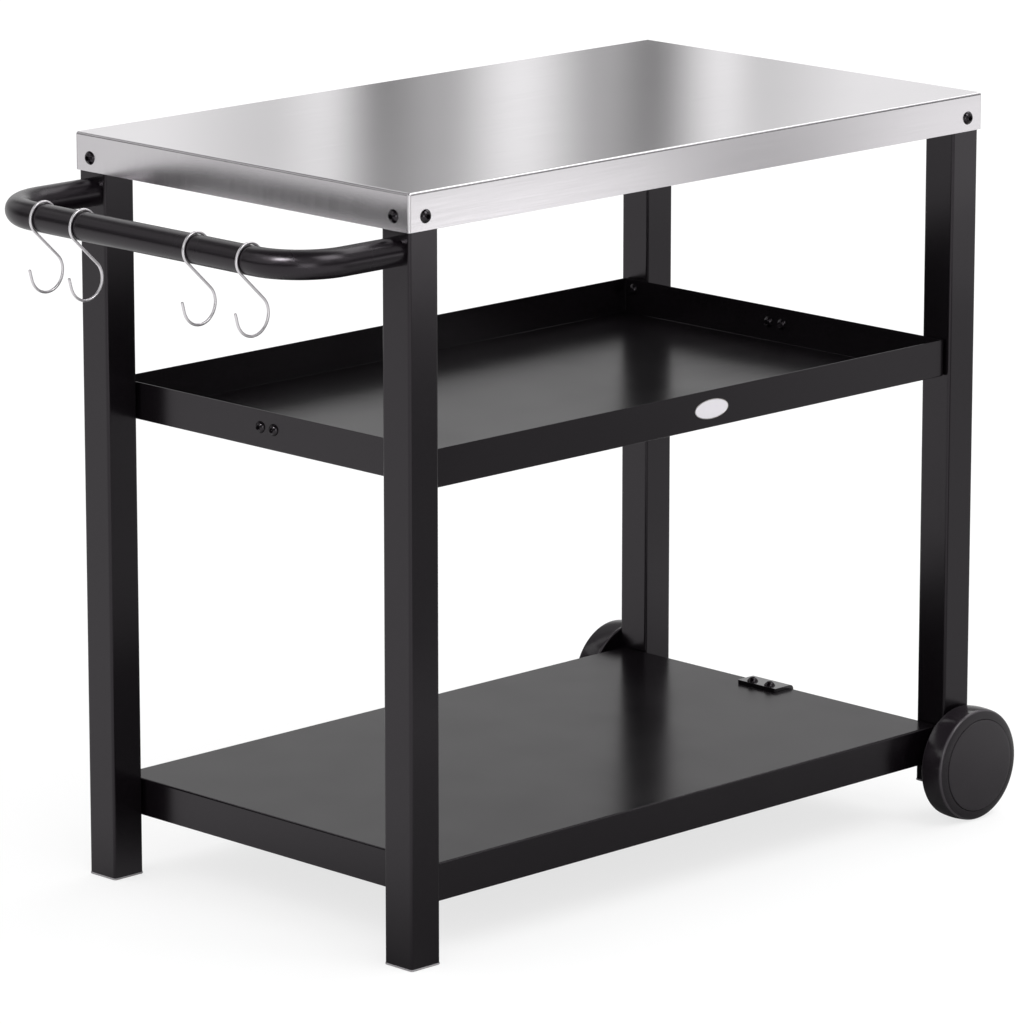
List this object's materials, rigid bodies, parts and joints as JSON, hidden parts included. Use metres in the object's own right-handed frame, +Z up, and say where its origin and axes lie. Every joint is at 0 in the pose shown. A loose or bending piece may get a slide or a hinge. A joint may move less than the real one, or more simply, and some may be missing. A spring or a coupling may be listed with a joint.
{
  "type": "serving cart",
  "caption": "Rolling serving cart: flanged stainless top on square tube legs, open middle tray, bottom shelf, U-shaped tube handle with wire S-hooks at one end, wheels at the other.",
  "frame": {"origin": "on the floor, in the middle of the whole cart's outline seen from above", "axes": "+Z up; +X along the length, from the handle end to the wheel end; +Y to the back; the side with the label plate faces -Y"},
  "size_m": [1.0388, 0.57, 0.8],
  "materials": {
    "stainless_sheet": "fine brushed, low sheen",
    "galvanised_sheet": "dull galvanised",
    "black_powder_coat": "satin black powder coat",
    "black_gloss_coat": "semi-gloss black paint",
    "black_screws": "black-coated steel, slightly shiny",
    "chromed_wire": "polished chrome plate",
    "grey_cap_plastic": "fine matt",
    "wheel_plastic": "satin moulded plastic",
    "cover_plastic": "satin moulded plastic",
    "white_label": "smooth white, blank",
    "zinc_steel": "bright zinc plate"
  },
  "bodies": {
    "cart": {"axle_bolt_back": "zinc_steel", "axle_bolt_front": "zinc_steel", "axle_nuts": "zinc_steel", "axle_spacers": "zinc_steel", "axle_washers": "zinc_steel", "bottom_shelf": "black_powder_coat", "bracket_bolts": "black_screws", "bracket_nuts": "zinc_steel", "foot_cap_back": "grey_cap_plastic", "foot_cap_front": "grey_cap_plastic", "handle": "black_gloss_coat", "handle_bolts": "black_screws", "handle_plugs": "zinc_steel", "label_plate": "white_label", "leg_cap_back": "grey_cap_plastic", "leg_cap_front": "grey_cap_plastic", "leg_handle_back": "black_powder_coat", "leg_handle_front": "black_powder_coat", "leg_wheel_back": "black_powder_coat", "leg_wheel_front": "black_powder_coat", "middle_tray": "black_powder_coat", "shelf_bracket": "black_powder_coat", "shelf_corner_bolts": "black_screws", "shelf_corner_inserts": "zinc_steel", "tabletop": "stainless_sheet", "tabletop_inserts": "zinc_steel", "tabletop_screws": "black_screws", "top_stiffener": "galvanised_sheet", "tray_corner_bolts": "black_screws", "tray_corner_inserts": "zinc_steel", "tray_end_bolts": "black_screws", "tray_end_nuts": "zinc_steel"},
    "front_wheel": {"wheel_front": "wheel_plastic", "wheel_cover_front": "cover_plastic"},
    "back_wheel": {"wheel_back": "wheel_plastic", "wheel_cover_back": "cover_plastic"},
    "hook_back_body": {"hook_back": "chromed_wire"},
    "hook_mid_back_body": {"hook_mid_back": "chromed_wire"},
    "hook_mid_front_body": {"hook_mid_front": "chromed_wire"},
    "hook_front_body": {"hook_front": "chromed_wire"}
  },
  "joints": [
    {"name": "front_wheel_roll", "type": "hinge", "parent": "cart", "child": "front_wheel", "pos_m": [0.45689, -0.2675, 0.0625], "axis": [0, 1, 0], "continuous": true},
    {"name": "back_wheel_roll", "type": "hinge", "parent": "cart", "child": "back_wheel", "pos_m": [0.45689, 0.2675, 0.0625], "axis": [0, 1, 0], "continuous": true},
    {"name": "hook_back_swing", "type": "hinge", "parent": "cart", "child": "hook_back_body", "pos_m": [-0.49871, 0.1523, 0.7385], "axis": [0, 1, 0], "range_deg": [-75, 75]},
    {"name": "hook_mid_back_swing", "type": "hinge", "parent": "cart", "child": "hook_mid_back_body", "pos_m": [-0.49871, 0.0913, 0.7385], "axis": [0, 1, 0], "range_deg": [-75, 75]},
    {"name": "hook_mid_front_swing", "type": "hinge", "parent": "cart", "child": "hook_mid_front_body", "pos_m": [-0.49871, -0.0793, 0.7385], "axis": [0, 1, 0], "range_deg": [-75, 75]},
    {"name": "hook_front_swing", "type": "hinge", "parent": "cart", "child": "hook_front_body", "pos_m": [-0.49871, -0.1573, 0.7385], "axis": [0, 1, 0], "range_deg": [-75, 75]}
  ]
}
